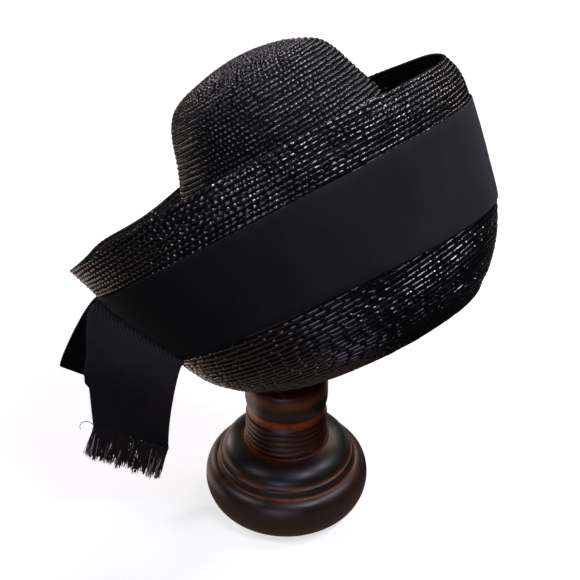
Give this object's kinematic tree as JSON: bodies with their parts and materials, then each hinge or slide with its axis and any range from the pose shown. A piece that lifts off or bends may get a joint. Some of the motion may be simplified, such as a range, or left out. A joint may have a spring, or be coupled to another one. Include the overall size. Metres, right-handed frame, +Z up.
{
  "type": "brimmed straw hat on turned wood stand",
  "caption": "Black sewn-straw hat with a bell crown and deep upturned brim, wide ribbon band and frayed ribbon tail, tilted on a turned wooden stand.",
  "frame": {"origin": "middle of the stand foot's flat underside, on the surface that it stands on", "axes": "+Z up along the stand's axis; -Y towards the viewer of the hat's side; the hat's front points to +X and its bow hangs on the -X side"},
  "size_m": [0.3395, 0.3006, 0.4003],
  "materials": {
    "straw": "black lacquered straw braid sewn in rows, glossy",
    "ribbon": "black ribbed grosgrain, matte, a little faded",
    "stained_wood": "near-black stain with satin polish, rubbed through to brown on the edges"
  },
  "bodies": {
    "root": {"crown": "straw", "brim": "straw", "band": "ribbon", "bow_loop": "ribbon", "bow_tail": "ribbon", "tail_fringe": "ribbon", "stand_foot": "stained_wood", "stand_column": "stained_wood", "stand_post": "stained_wood"}
  },
  "joints": []
}
